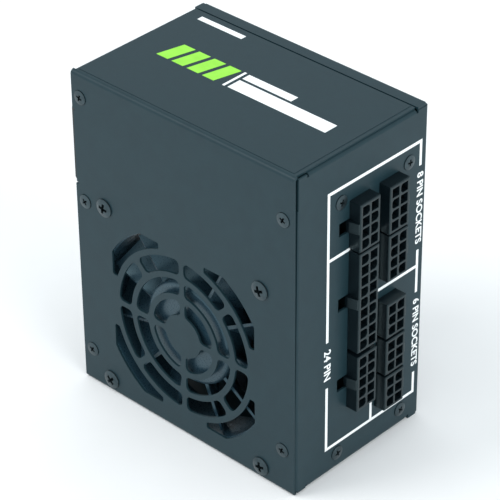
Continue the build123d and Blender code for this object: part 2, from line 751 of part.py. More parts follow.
def shell_core(x, z, size_x, size_z, height):
    """Ferrite core of a transformer: a frame and a centre leg, with the winding's two windows."""
    leg = size_z * 0.27
    wall = size_z * 0.15
    with BuildPart() as core:
        with BuildSketch(Plane.YZ.offset(x - size_x * 0.34)):
            patch(board_y - height, board_y, z - size_z / 2, z + size_z / 2)
            patch(board_y - height + wall, board_y - wall, z - size_z / 2 + wall, z + size_z / 2 - wall,
                  mode=Mode.SUBTRACT)
            patch(board_y - height, board_y, z - leg / 2, z + leg / 2)
        extrude(amount=size_x * 0.68)
    return core


def shell_winding(x, z, size_x, size_z, height):
    """Winding that fills the windows of a shell core and stands out on both sides of its leg."""
    leg = size_z * 0.27
    wall = size_z * 0.15
    with BuildPart() as winding:
        with BuildSketch(board_face.offset(wall + 0.2)):
            with Locations((x, z)):
                RectangleRounded(size_x, size_z - 2 * wall - 0.4, 2.0)
                Rectangle(size_x * 0.68, leg, mode=Mode.SUBTRACT)
        extrude(amount=height - 2 * wall - 0.4)
    return winding


main_transformer = (board_rear_x + 21.0, 34.0, 27.0, 30.0, 28.0)
main_transformer_core = shell_core(*main_transformer)
main_transformer_core.part.label = "main_transformer_core"
main_transformer_winding = shell_winding(*main_transformer)
main_transformer_winding.part.label = "main_transformer_winding"

standby_transformer = (board_rear_x + 21.0, 11.0, 16.0, 12.5, 14.0)
standby_transformer_core = shell_core(*standby_transformer)
standby_transformer_core.part.label = "standby_transformer_core"
standby_transformer_winding = shell_winding(*standby_transformer)
standby_transformer_winding.part.label = "standby_transformer_winding"


def toroid_core(place, outer, inner, thickness):
    """Ring core of a choke, standing on the place."""
    with BuildPart() as core:
        with BuildSketch(place):
            Circle(outer)
            Circle(inner, mode=Mode.SUBTRACT)
        extrude(amount=thickness)
    return core


def toroid_winding(place, outer, inner, thickness, wire):
    """Winding round a ring core: one layer of turns over every side, open at two gaps."""
    with BuildPart() as winding:
        with BuildSketch(place.offset(-wire)):
            Circle(outer + wire)
            Circle(inner - wire, mode=Mode.SUBTRACT)
            Rectangle(4.0, 3 * outer, mode=Mode.SUBTRACT)
        extrude(amount=thickness + 2 * wire)
        with BuildSketch(place):
            Circle(outer)
            Circle(inner, mode=Mode.SUBTRACT)
        extrude(amount=thickness, mode=Mode.SUBTRACT)
    return winding


wire_layer = 1.4
pfc_place = Plane(
    origin=(board_rear_x + 17.5, board_y - wire_layer, power_zone_z + 25.0),
    x_dir=(1, 0, 0),
    z_dir=(0, -1, 0),
)
pfc_choke_core = toroid_core(pfc_place, 12.6, 6.2, 12.0)
pfc_choke_core.part.label = "pfc_choke_core"
pfc_choke_winding = toroid_winding(pfc_place, 12.6, 6.2, 12.0, wire_layer)
pfc_choke_winding.part.label = "pfc_choke_winding"

output_place = Plane(
    origin=(front_zone_x, board_y - wire_layer, power_zone_z + 21.0),
    x_dir=(1, 0, 0),
    z_dir=(0, -1, 0),
)
output_choke_core = toroid_core(output_place, 9.2, 4.6, 9.0)
output_choke_core.part.label = "output_choke_core"
output_choke_winding = toroid_winding(output_place, 9.2, 4.6, 9.0, wire_layer)
output_choke_winding.part.label = "output_choke_winding"

filter_wire = 1.1
filter_place = Plane(
    origin=(rear_x + 45.0, board_y - 12.2, mains_z + 3.5),
    x_dir=(0, 1, 0),
    z_dir=(1, 0, 0),
)
filter_choke_core = toroid_core(filter_place, 11.0, 5.6, 6.5)
filter_choke_core.part.label = "filter_choke_core"
filter_choke_winding = toroid_winding(filter_place, 11.0, 5.6, 6.5, filter_wire)
filter_choke_winding.part.label = "filter_choke_winding"

with BuildPart() as x_capacitor:
    block(rear_x + 34.0, rear_x + 42.0, board_y - 15.0, board_y, mains_z - 9.0, mains_z + 9.0)
    fillet(x_capacitor.edges().filter_by(Axis.Y), 0.8)
x_capacitor.part.label = "x_capacitor"

with BuildPart() as y_capacitors:
    for x in (rear_x + 34.0, rear_x + 39.0):
        with Locations((x, board_y - 4.5, board_high_z - 8.0)):
            Cylinder(4.5, 3.0, rotation=(0, 90, 0))
y_capacitors.part.label = "y_capacitors"

with BuildPart() as fuse:
    with Locations((rear_x + 22.0, board_y - 3.6, board_high_z - 8.0)):
        Cylinder(2.6, 19.0, rotation=(0, 90, 0))
    for x in (rear_x + 15.0, rear_x + 29.0):
        block(x - 2, x + 2, board_y - 3.0, board_y, board_high_z - 11.0, board_high_z - 5.0)
fuse.part.label = "fuse"

plate = 3.0
primary_sink_x = rear_x + 50.4
secondary_sink_x = rear_x + 48.0
sink_height = 33.0
primary_sink_z = (power_zone_z + 8.5, power_zone_top_z)
secondary_sink_z = (8.0, power_zone_z + 5.0)


def heatsink(x, z_range, fin_length, fin_count):
    """Aluminium plate standing on the board, with fins on its socket side."""
    low_z, high_z = z_range
    with BuildPart() as sink:
        block(x, x + plate, board_y - sink_height, board_y, low_z, high_z)
        for number in range(fin_count):
            y = board_y - sink_height + number * (sink_height - 1.2) / (fin_count - 1)
            block(x + plate, x + plate + fin_length, y, y + 1.2, low_z, high_z)
    return sink


primary_heatsink = heatsink(primary_sink_x, primary_sink_z, 4.0, 7)
primary_heatsink.part.label = "primary_heatsink"
secondary_heatsink = heatsink(secondary_sink_x, secondary_sink_z, 5.0, 7)
secondary_heatsink.part.label = "secondary_heatsink"

with BuildPart() as bridge_rectifier:
    block(primary_sink_x - 4.0, primary_sink_x, board_y - 20.0, board_y - 3.0,
          primary_sink_z[1] - 15.5, primary_sink_z[1] - 0.5)
bridge_rectifier.part.label = "bridge_rectifier"


def transistors(x, z_places):
    """Flat power transistors screwed to the rear side of a heatsink."""
    with BuildPart() as group:
        for z in z_places:
            block(x - 4.4, x, board_y - 18.0, board_y - 9.0, z - 5.0, z + 5.0)
            block(x - 1.3, x, board_y - 25.0, board_y - 18.0, z - 5.0, z + 5.0)
            for step in (-2.54, 0, 2.54):
                block(x - 2.8, x - 2.2, board_y - 9.0, board_y, z + step - 0.5, z + step + 0.5)
    return group


power_transistors = transistors(primary_sink_x, [primary_sink_z[0] + 6.5])
power_transistors.part.label = "power_transistors"
rectifier_transistors = transistors(
    secondary_sink_x, [secondary_sink_z[0] + step for step in (7.0, 19.0, 31.0)]
)
rectifier_transistors.part.label = "rectifier_transistors"

with BuildPart() as output_capacitors:
    with BuildSketch(board_face):
        with Locations((front_zone_x, power_zone_z - 13.5)):
            with GridLocations(10.0, 10.0, 2, 4):
                Circle(4.0)
    extrude(amount=14.0)
    fillet(output_capacitors.edges().filter_by(GeomType.CIRCLE), 0.6)
output_capacitors.part.label = "output_capacitors"

with BuildPart() as control_board:
    block(board_front_x - 3.8, board_front_x - 2.6, board_y - 20.0, board_y, 12.0, 46.0)
control_board.part.label = "control_board"

# Socket board behind the socket panel
socket_board_low_y = -14.5
socket_board_high_y = 27.0
with BuildPart() as socket_board:
    block(socket_board_x - board_thickness, socket_board_x, socket_board_low_y, socket_board_high_y,
          2.6, case_width - 2.6)
    with BuildSketch(socket_face):
        for name, rows, column_y, latch_side, centre_z, length in sockets:
            with Locations((column_y, centre_z)):
                with GridLocations(pin_pitch, pin_pitch, 2, rows):
                    Rectangle(pin_size, pin_size)
        with Locations(*socket_screw_spots):
            Circle(small_shank_radius)
    extrude(amount=-20, mode=Mode.SUBTRACT)
socket_board.part.label = "socket_board"

with BuildPart() as socket_pillars:
    with BuildSketch(Plane(origin=(socket_board_x, 0, 0), x_dir=(0, 1, 0), z_dir=(1, 0, 0))):
        with Locations(*socket_screw_spots):
            Circle(2.6)
    extrude(amount=front_x - sheet - socket_board_x)
    for seat in socket_screw_seats:
        add(seat, mode=Mode.SUBTRACT)
socket_pillars.part.label = "socket_pillars"

with BuildPart() as socket_pins:
    with BuildSketch(Plane(origin=(socket_front_x - pin_recess, 0, 0), x_dir=(0, 1, 0), z_dir=(1, 0, 0))):
        for name, rows, column_y, latch_side, centre_z, length in sockets:
            with Locations((column_y, centre_z)):
                with GridLocations(pin_pitch, pin_pitch, 2, rows):
                    Rectangle(pin_size, pin_size)
    extrude(amount=-(socket_length - pin_recess + board_thickness + 1.2))
socket_pins.part.label = "socket_pins"


def cell_is_rounded(name, column, row):
    """Keying of the cells: rows count from the top, column 0 is on the fan side."""
    if name.startswith("drive"):
        return (row == 2) == (column == 0) if row != 1 else column == 0
    outer_rows = row % 4 in (0, 3)
    if name in ("processor_socket_1",) or name.startswith("main"):
        return outer_rows == (column == 0)
    return outer_rows == (column == 1)


def make_socket(name, rows, column_y, latch_side, centre_z, length):
    """Plastic housing of one output socket, with a keyed cell for every pin."""
    front = Plane(origin=(socket_front_x, column_y, centre_z), x_dir=(0, 1, 0), z_dir=(1, 0, 0))
    round_side = -latch_side
    with BuildPart() as housing:
        with BuildSketch(front):
            Rectangle(socket_width, length)
        extrude(amount=-socket_length)
        chamfer(housing.faces().sort_by(Axis.X)[-1].edges(), 0.25)
        with BuildSketch(front):
            for column in range(2):
                for row in range(rows):
                    centre = ((column - 0.5) * pin_pitch, ((rows - 1) / 2 - row) * pin_pitch)
                    if cell_is_rounded(name, column, row):
                        with Locations(centre):
                            RectangleRounded(pin_cell, pin_cell, 1.2)
                        with Locations((centre[0] - round_side * pin_cell / 4, centre[1])):
                            Rectangle(pin_cell / 2, pin_cell)
                    else:
                        with Locations(centre):
                            Rectangle(pin_cell, pin_cell)
        extrude(amount=-cell_depth, mode=Mode.SUBTRACT)
        with BuildSketch(front):
            with GridLocations(pin_pitch, pin_pitch, 2, rows):
                Rectangle(pin_size, pin_size)
        extrude(amount=-socket_length, mode=Mode.SUBTRACT)
        # Latch ramp on the outer wall, rising from the front to a square catch
        wall = latch_side * socket_width / 2
        with BuildSketch(Plane(origin=(socket_front_x, column_y, centre_z + latch_width / 2),
                               x_dir=(0, 1, 0), z_dir=(0, 0, -1))):
            with BuildLine():
                Polyline(
                    (wall, -0.3),
                    (wall + latch_side * latch_height * 0.3, -0.3),
                    (wall + latch_side * latch_height, -latch_length + 1.2),
                    (wall + latch_side * latch_height, -latch_length),
                    (wall, -latch_length),
                    close=True,
                )
            make_face()
        extrude(amount=latch_width)
    housing.part.label = name
    return housing


socket_housings = [make_socket(*socket) for socket in sockets]

# Copper bars join the main board to the socket board
link_bar_z = [power_zone_z + step for step in (11.0, 23.0, 35.0, 47.0)]
with BuildPart() as link_bars:
    for z in link_bar_z:
        block(board_front_x - 2.0, socket_board_x - board_thickness, board_y - 5.0, board_y, z, z + 1.5)
link_bars.part.label = "link_bars"

# Wires: from the inlet down to the main board, and from the fan to its plug
wire_radius = 1.1
wire_start_x = rear_x - inlet_pin_front + inlet_pin_length
wires = []
for across, along in [(-2.0, -7.0), (-2.0, 7.0), (2.0, 0.0)]:
    y = inlet_y - across
    z = inlet_z + along
    turn_x = wire_start_x + 5.0
    route = FilletPolyline((wire_start_x, y, z), (turn_x, y, z), (turn_x, board_y, z), radius=3.6)
    with BuildPart() as wire:
        with BuildSketch(Plane(origin=(wire_start_x, y, z), z_dir=(1, 0, 0))):
            Circle(wire_radius)
        sweep(path=route)
    wires.append(wire.part)
with BuildPart() as inlet_wires:
    for wire in wires:
        add(wire)
inlet_wires.part.label = "inlet_wires"

plug_z = power_zone_top_z + 4.3
plug_height = 6.5
with BuildPart() as fan_plug:
    block(fan_offset_x - 3.2, fan_offset_x + 3.2, board_y - plug_height, board_y, plug_z - 2.1, plug_z + 2.1)
fan_plug.part.label = "fan_plug"

lead_radius = 0.6
lead_y = fan_y + sheet + fan_thickness + lead_radius
leads = []
for x in (fan_offset_x - 0.8, fan_offset_x + 0.8):
    start = (x, lead_y, fan_height_z + 9.0)
    route = FilletPolyline(start, (x, lead_y, plug_z), (x, board_y - plug_height, plug_z), radius=3.5)
    with BuildPart() as lead:
        with BuildSketch(Plane(origin=start, z_dir=(0, 0, 1))):
            Circle(lead_radius)
        sweep(path=route)
    leads.append(lead.part)
with BuildPart() as fan_lead:
    for lead in leads:
        add(lead)
fan_lead.part.label = "fan_lead"

os.makedirs("parts", exist_ok=True)
pieces = [
    chassis_shell, fan_cover, side_label, cover_screws, socket_board_screws, fan_screws,
    fan_frame, fan_rotor, rotor_yoke, rotor_magnet, fan_bearing, fan_shaft,
    stator_core, stator_windings, fan_circuit_board, fan_plug, fan_lead,
    inlet_housing, inlet_pins, inlet_wires, switch_housing, switch_rocker, switch_terminals,
    main_board, board_standoffs, board_screws, insulation_sheet,
    bulk_capacitor, main_transformer_core, main_transformer_winding,
    standby_transformer_core, standby_transformer_winding,
    pfc_choke_core, pfc_choke_winding, filter_choke_core, filter_choke_winding,
    output_choke_core, output_choke_winding, x_capacitor, y_capacitors, fuse,
    primary_heatsink, secondary_heatsink, bridge_rectifier, power_transistors, rectifier_transistors,
    output_capacitors, control_board, link_bars, socket_board, socket_pillars, socket_pins,
] + socket_housings
for piece in pieces:
    export_step(piece.part, "parts/" + piece.part.label + ".step")
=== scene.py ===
import json
import math

import bmesh
import bpy
from mathutils import Matrix, Vector


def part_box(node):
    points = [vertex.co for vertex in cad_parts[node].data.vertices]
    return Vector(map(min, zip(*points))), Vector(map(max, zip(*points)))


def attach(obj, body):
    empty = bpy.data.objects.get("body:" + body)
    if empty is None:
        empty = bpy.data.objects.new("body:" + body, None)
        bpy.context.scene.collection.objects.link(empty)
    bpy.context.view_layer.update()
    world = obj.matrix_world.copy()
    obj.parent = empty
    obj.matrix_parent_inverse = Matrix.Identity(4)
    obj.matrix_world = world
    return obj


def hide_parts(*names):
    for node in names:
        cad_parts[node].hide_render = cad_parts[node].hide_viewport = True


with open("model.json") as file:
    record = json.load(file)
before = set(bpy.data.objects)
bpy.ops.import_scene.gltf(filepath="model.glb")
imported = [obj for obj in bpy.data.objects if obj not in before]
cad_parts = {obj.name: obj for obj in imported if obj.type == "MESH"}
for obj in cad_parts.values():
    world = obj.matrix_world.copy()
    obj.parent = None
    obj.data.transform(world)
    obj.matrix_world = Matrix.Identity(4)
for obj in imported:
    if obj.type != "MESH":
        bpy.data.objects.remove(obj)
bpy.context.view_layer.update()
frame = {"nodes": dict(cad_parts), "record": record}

MM = 0.001

# The case, in metres: the fan face, the back plate, the mains face and the socket face
fan_plane = -31.75 * MM
back_plane = 31.75 * MM
mains_plane = -50.0 * MM
socket_plane = 50.0 * MM
case_height = 125.0 * MM

# ---------------------------------------------------------------- materials

def paint(code):
    """A colour written as an sRGB hex value, as the linear colour that a shader takes."""
    parts = [int(code[i:i + 2], 16) / 255 for i in (1, 3, 5)]
    return [c / 12.92 if c <= 0.04045 else ((c + 0.055) / 1.055) ** 2.4 for c in parts] + [1.0]


def add(tree, kind, settings=None, **links):
    """Adds a node with its settings, and links or sets its inputs by name."""
    node = tree.nodes.new(kind)
    for key, value in (settings or {}).items():
        setattr(node, key, value)
    for key, value in links.items():
        wanted = key.replace("_", " ")
        socket = next(s for s in node.inputs if s.name.lower() == wanted.lower() and s.enabled)
        if isinstance(value, bpy.types.NodeSocket):
            tree.links.new(value, socket)
        else:
            socket.default_value = value
    return node


def new_material(name, roughness, metallic=0.0, ior=1.5, **constants):
    """A material with one Principled shader, whose constant sockets are set on the shader itself."""
    material = bpy.data.materials.new(name)
    material.use_nodes = True
    shader = material.node_tree.nodes["Principled BSDF"]
    shader.inputs["Roughness"].default_value = roughness
    shader.inputs["Metallic"].default_value = metallic
    if metallic < 0.5:
        shader.inputs["IOR"].default_value = ior
    for key, value in constants.items():
        shader.inputs[key.replace("_", " ")].default_value = value
    return material, material.node_tree, shader


def place_on(tree):
    """Object coordinates, in metres of the row frame."""
    return add(tree, "ShaderNodeTexCoord").outputs["Object"]


def grain(tree, where, size, detail=2.0, roughness=0.5):
    """Noise whose features are about that size in metres."""
    return add(tree, "ShaderNodeTexNoise", Vector=where, Scale=1 / size, Detail=detail,
               Roughness=roughness).outputs["Fac"]


def spread(tree, value, low, high, start=0.3, end=0.7):
    """Maps the middle of a noise's range to a range of values."""
    return add(tree, "ShaderNodeMapRange", Value=value, From_Min=start, From_Max=end,
               To_Min=low, To_Max=high).outputs["Result"]


def two_tone(tree, factor, dark, light):
    """A colour between two paints."""
    mix = add(tree, "ShaderNodeMix", {"data_type": "RGBA"})
    tree.links.new(factor, mix.inputs["Factor"])
    mix.inputs[6].default_value = paint(dark)
    mix.inputs[7].default_value = paint(light)
    return mix.outputs[2]


def emboss(tree, shader, height, depth, edge):
    """Feeds a height to the shader's normal, with a depth and an edge rounding in metres."""
    bump = add(tree, "ShaderNodeBump", Height=height, Distance=depth, Strength=1.0)
    if edge:
        rounded = add(tree, "ShaderNodeBevel", {"samples": 6}, Radius=edge)
        tree.links.new(rounded.outputs["Normal"], bump.inputs["Normal"])
    tree.links.new(bump.outputs["Normal"], shader.inputs["Normal"])


def surface(name, dark, light, roughness, grain_mm, depth_mm, metallic=0.0, ior=1.5, gloss_spread=0.06,
            edge_mm=0.0, **constants):
    """A finish with a mottled colour, an uneven gloss and a fine relief of one grain size."""
    material, tree, shader = new_material(name, roughness, metallic, ior, **constants)
    where = place_on(tree)
    fine = grain(tree, where, grain_mm * MM, 3.0, 0.6)
    broad = grain(tree, where, grain_mm * MM * 14, 2.0)
    tree.links.new(two_tone(tree, spread(tree, broad, 0, 1), dark, light), shader.inputs["Base Color"])
    tree.links.new(
        spread(tree, fine, roughness - gloss_spread, roughness + gloss_spread), shader.inputs["Roughness"])
    emboss(tree, shader, fine, depth_mm * MM, edge_mm * MM)
    return material


# Powder coat, sprayed and baked: a soft sheen over a fine orange peel.
powder_coat = surface("powder_coated_steel", "#1b3138", "#1d343b", 0.42, 0.35, 0.005,
                      Specular_IOR_Level=0.22)
# Printed polyester film: as dark as the coat round it, and smoother.
label_film = surface("matt_label_film", "#1b3138", "#1c333a", 0.42, 0.2, 0.002, Specular_IOR_Level=0.22)
# Screen ink, opaque white and leaf green: flat, slightly raised, and hardly glossy.
white_ink = surface("white_screen_ink", "#eef3f4", "#f6fafa", 0.6, 0.3, 0.002)
green_ink = surface("green_screen_ink", "#8fdc3c", "#97e545", 0.55, 0.3, 0.002)
# Black oxide on steel: dark metal with a dull shine.
black_oxide = surface("black_oxide_steel", "#38454a", "#435156", 0.33, 0.15, 0.002, metallic=0.85)
# Glass-filled nylon, moulded: near black, with a waxy gloss and small rounded edges that catch the light.
black_nylon = surface("black_moulded_nylon", "#0a1217", "#0d171c", 0.33, 0.25, 0.002, ior=1.53, edge_mm=0.3,
                      Specular_IOR_Level=0.4, Specular_Tint=(0.65, 0.95, 1.0, 1.0))
# PBT, moulded: a polished tool gives the fan a smooth bluish sheen. The base colour is the plastic's dark
# tone with painted bluish sheen mixed in, so it is lighter and bluer than the black plastic itself.
fan_plastic = surface("fan_moulded_pbt_painted_sheen", "#1f333e", "#253c48", 0.3, 0.5, 0.001, ior=1.55,
                      Specular_Tint=(0.6, 0.9, 1.0, 1.0))
# Nylon with a fine spark-eroded texture: plain black, half matt.
inlet_plastic = surface("inlet_moulded_nylon", "#0d0d0e", "#121213", 0.42, 0.3, 0.002)
# Plain rolled steel: bright grey with an even polish.
bright_steel = surface("bright_plain_steel", "#8d8f92", "#a3a5a8", 0.3, 0.2, 0.002, metallic=1.0)
# Bronze powder, pressed and sintered: brown metal, dulled by its pores.
bronze = surface("sintered_bronze", "#8a6034", "#a37440", 0.45, 0.12, 0.004, metallic=1.0)
# Brass, turned from bar: yellow and bright.
brass = surface("turned_brass", "#b08d3e", "#c5a24c", 0.28, 0.2, 0.002, metallic=1.0)
# Ferrite powder bonded in rubber: dark grey and matt.
magnet = surface("bonded_ferrite_magnet", "#1f2021", "#28292a", 0.6, 0.2, 0.004)
# Copper wire under clear enamel: deep orange with a glassy coat.
enamelled_copper = surface("enamelled_copper_wire", "#8d4320", "#a9562a", 0.25, 0.3, 0.001, metallic=0.9,
                           Coat_Weight=0.6)
# Bare rolled copper: pink and a little tarnished.
copper = surface("bare_copper_bar", "#b06a48", "#c98058", 0.3, 0.3, 0.002, metallic=1.0)
# Tin plate on stamped brass: pale and bright.
tin_plate = surface("tin_plated_contact", "#b9b6ae", "#cfccc4", 0.25, 0.15, 0.001, metallic=1.0)
# Glass-epoxy board under solder mask: dark green with a soft gloss.
board = surface("solder_masked_board", "#0f3a24", "#14452c", 0.4, 0.4, 0.002)
# Ferrite, pressed and fired: dark grey stone, almost without gloss.
ferrite = surface("sintered_ferrite_core", "#2b2d2f", "#36383a", 0.62, 0.2, 0.004)
# Aluminium, extruded and left bare: light grey with fine die lines.
aluminium = surface("extruded_aluminium", "#a9acae", "#bcbfc1", 0.35, 0.25, 0.003, metallic=1.0)
# PVC sleeve, shrunk on: blue-black with a stretched gloss.
sleeve = surface("shrunk_pvc_sleeve", "#14171f", "#1a1e28", 0.3, 0.8, 0.003)
# Moulded polyester box of a film capacitor: strong yellow.
yellow_film = surface("yellow_capacitor_case", "#c9a020", "#d6ae2c", 0.35, 0.5, 0.002)
# Ceramic disc dipped in epoxy: blue, with the uneven skin of a dip.
blue_dip = surface("blue_dipped_ceramic", "#1f4f93", "#285ba3", 0.35, 0.6, 0.004)
# Unglazed fuse tube: off-white and dull.
ceramic = surface("white_fuse_ceramic", "#d5d2c8", "#e0ddd4", 0.4, 0.3, 0.002)
# Moulding compound of semiconductors: black-grey and matt, from its silica filler.
epoxy = surface("black_moulded_epoxy", "#1b1b1c", "#232324", 0.5, 0.15, 0.003)
# Natural nylon, moulded: cream, and slightly see-through.
white_nylon = surface("natural_nylon", "#d8d4c6", "#e2dfd2", 0.42, 0.3, 0.002, Subsurface_Weight=0.1)
# Polyester sheet, die cut: milky and glossy.
polyester_film = surface("clear_polyester_film", "#c9c7be", "#d5d3ca", 0.2, 0.6, 0.001)
# PVC insulation of wire: black, soft sheen.
wire_cover = surface("pvc_wire_cover", "#1a1a1a", "#222222", 0.45, 0.3, 0.002)

FINISH = {
    "painted_steel": powder_coat,
    "printed_label": label_film,
    "black_screw": black_oxide,
    "black_nylon": black_nylon,
    "fan_plastic": fan_plastic,
    "inlet_plastic": inlet_plastic,
    "plain_steel": bright_steel,
    "sintered_bronze": bronze,
    "turned_brass": brass,
    "magnet": magnet,
    "enamelled_copper": enamelled_copper,
    "bare_copper": copper,
    "tinned_contact": tin_plate,
    "circuit_board": board,
    "ferrite": ferrite,
    "finned_aluminium": aluminium,
    "capacitor_sleeve": sleeve,
    "yellow_film": yellow_film,
    "blue_ceramic": blue_dip,
    "fuse_ceramic": ceramic,
    "semiconductor": epoxy,
    "white_nylon": white_nylon,
    "insulating_film": polyester_film,
    "wire_cover": wire_cover,
}
for part in frame["record"]["subparts"]:
    node = frame["nodes"][part["node"]]
    node.data.materials.clear()
    node.data.materials.append(FINISH[part["material_slot"]])


# ---------------------------------------------------------------- repeated pieces by geometry nodes

def geometry_tree(name, *inputs):
    """A geometry tree with named inputs, given as (name, socket kind, value), and its two end nodes."""
    tree = bpy.data.node_groups.new(name, "GeometryNodeTree")
    tree.interface.new_socket("Geometry", in_out="OUTPUT", socket_type="NodeSocketGeometry")
    tree.interface.new_socket("Geometry", in_out="INPUT", socket_type="NodeSocketGeometry")
    for label, kind, value in inputs:
        socket = tree.interface.new_socket(label, in_out="INPUT", socket_type=kind)
        if value is not None:
            socket.default_value = value
    return tree, tree.nodes.new("NodeGroupInput"), tree.nodes.new("NodeGroupOutput")


def grown(name, points, tree, settings, body, slot_name, *nodes):
    """Grows a piece from points with a geometry tree, as a plain mesh that stands for CAD nodes."""
    seed_mesh = bpy.data.meshes.new(name + "_points")
    seed_mesh.from_pydata([tuple(p) for p in points], [], [])
    holder = bpy.data.objects.new(name + "_points", seed_mesh)
    bpy.context.collection.objects.link(holder)
    modifier = holder.modifiers.new(name, "NODES")
    modifier.node_group = tree
    for item in tree.interface.items_tree:
        if item.in_out == "INPUT" and item.name in settings:
            modifier[item.identifier] = settings[item.name]
    bpy.context.view_layer.update()
    graph = bpy.context.evaluated_depsgraph_get()
    mesh = bpy.data.meshes.new_from_object(holder.evaluated_get(graph))
    bpy.data.objects.remove(holder)
    mesh.name = name
    mesh.materials.clear()
    mesh.materials.append(settings["Material"])
    mesh.polygons.foreach_set("material_index", [0] * len(mesh.polygons))
    piece = bpy.data.objects.new(name, mesh)
    bpy.context.collection.objects.link(piece)
    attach(piece, body)
    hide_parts(*nodes)
    return piece


def math_node(tree, operation, *values):
    """One arithmetic node."""
    node = tree.nodes.new("ShaderNodeMath")
    node.operation = operation
    for socket, value in zip(node.inputs, values):
        if isinstance(value, bpy.types.NodeSocket):
            tree.links.new(value, socket)
        else:
            socket.default_value = value
    return node.outputs[0]


def offset_z(tree, geometry, height):
    """Moves geometry along Z."""
    place = add(tree, "ShaderNodeCombineXYZ", Z=height)
    return add(tree, "GeometryNodeTransform", Geometry=geometry,
               Translation=place.outputs[0]).outputs["Geometry"]


def solid_of(tree, operation, *meshes):
    """One closed solid out of several: joined, cut from the first, or what they share."""
    node = tree.nodes.new("GeometryNodeMeshBoolean")
    node.operation = operation
    node.solver = "EXACT"
    for count, mesh in enumerate(meshes):
        first = operation == "DIFFERENCE" and count == 0
        tree.links.new(mesh, node.inputs["Mesh 1" if first else "Mesh 2"])
    return node.outputs["Mesh"]


def screw_head(tree, radius, height):
    """A low domed head: the cap of a large sphere, cut off at a thin upright rim."""
    rim_height = math_node(tree, "MULTIPLY", height, 0.45)
    cap_height = math_node(tree, "SUBTRACT", height, rim_height)
    squared = math_node(tree, "MULTIPLY", radius, radius)
    doubled = math_node(tree, "MULTIPLY", cap_height, 2)
    ball_radius = math_node(tree, "ADD", math_node(tree, "DIVIDE", squared, doubled),
                            math_node(tree, "MULTIPLY", cap_height, 0.5))
    ball = add(tree, "GeometryNodeMeshUVSphere", Radius=ball_radius, Segments=64, Rings=96).outputs["Mesh"]
    ball = offset_z(tree, ball, math_node(tree, "SUBTRACT", height, ball_radius))
    drum = add(tree, "GeometryNodeMeshCylinder", Vertices=64, Radius=radius,
               Depth=math_node(tree, "MULTIPLY", height, 2)).outputs["Mesh"]
    drum = offset_z(tree, drum, math_node(tree, "MULTIPLY", height, 0.9))
    return solid_of(tree, "INTERSECT", ball, drum)


def cross_recess_arms(tree, span, height):
    """The two crossed wedges of a recess, which narrow downwards and are about half as deep as wide."""
    low = math_node(tree, "SUBTRACT", height, math_node(tree, "MULTIPLY", span, 0.55))
    arms = []
    for turn in (0, math.pi / 2):
        arm = add(tree, "GeometryNodeMeshCone", Vertices=4,
                  Radius_Top=math_node(tree, "MULTIPLY", span, 0.78),
                  Radius_Bottom=math_node(tree, "MULTIPLY", span, 0.53),
                  Depth=math_node(tree, "MULTIPLY", span, 0.75)).outputs["Mesh"]
        changes = ({"Rotation": (0, 0, math.pi / 4)}, {"Scale": (1, 0.28, 1)}, {"Rotation": (0, 0, turn)})
        for change in changes:
            arm = add(tree, "GeometryNodeTransform", Geometry=arm, **change).outputs["Geometry"]
        arms.append(offset_z(tree, arm, low))
    return arms


def cross_head_screw_tree():
    """A screw with a cross recess on every point, each turned by a seeded random angle."""
    tree, given, result = geometry_tree(
        "cross_head_screw",
        ("Head Radius", "NodeSocketFloat", 3.4 * MM),
        ("Head Height", "NodeSocketFloat", 1.1 * MM),
        ("Seat Depth", "NodeSocketFloat", 0.05 * MM),
        ("Shank Radius", "NodeSocketFloat", 2.1 * MM),
        ("Shank Length", "NodeSocketFloat", 10.0 * MM),
        ("Recess Span", "NodeSocketFloat", 3.8 * MM),
        ("Facing", "NodeSocketVector", (0, 0, 0)),
        ("Seed", "NodeSocketInt", 1),
        ("Material", "NodeSocketMaterial", None),
    )
    radius, height, depth, shank_radius, shank_length, span = (
        given.outputs[label] for label in
        ("Head Radius", "Head Height", "Seat Depth", "Shank Radius", "Shank Length", "Recess Span"))
    head = screw_head(tree, radius, height)
    # The seat tapers from the head to the shank, and both run up into the head.
    seat = add(tree, "GeometryNodeMeshCone", Vertices=64, Radius_Bottom=shank_radius,
               Radius_Top=math_node(tree, "MULTIPLY", radius, 0.98), Depth=depth).outputs["Mesh"]
    seat = offset_z(tree, seat, math_node(tree, "MULTIPLY", depth, -1))
    shank = add(tree, "GeometryNodeMeshCylinder", Vertices=32, Radius=shank_radius,
                Depth=shank_length).outputs["Mesh"]
    shank = offset_z(tree, shank, math_node(tree, "MULTIPLY", shank_length, -0.49))
    screw = solid_of(tree, "UNION", head, seat, shank)
    for arm in cross_recess_arms(tree, span, height):
        screw = solid_of(tree, "DIFFERENCE", screw, arm)
    turned = add(tree, "FunctionNodeRandomValue", {"data_type": "FLOAT"}, Seed=given.outputs["Seed"],
                 Min=0.0, Max=math.pi)
    copies = add(tree, "GeometryNodeInstanceOnPoints", Points=given.outputs["Geometry"],
                 Instance=screw, Rotation=given.outputs["Facing"]).outputs["Instances"]
    spin = add(tree, "ShaderNodeCombineXYZ", Z=next(o for o in turned.outputs if o.enabled))
    copies = add(tree, "GeometryNodeRotateInstances", Instances=copies, Rotation=spin.outputs[0],
                 Local_Space=True).outputs["Instances"]
    solid = add(tree, "GeometryNodeRealizeInstances", Geometry=copies).outputs["Geometry"]
    finished = add(tree, "GeometryNodeSetMaterial", Geometry=solid,
                   Material=given.outputs["Material"]).outputs["Geometry"]
    tree.links.new(finished, result.inputs["Geometry"])
    return tree


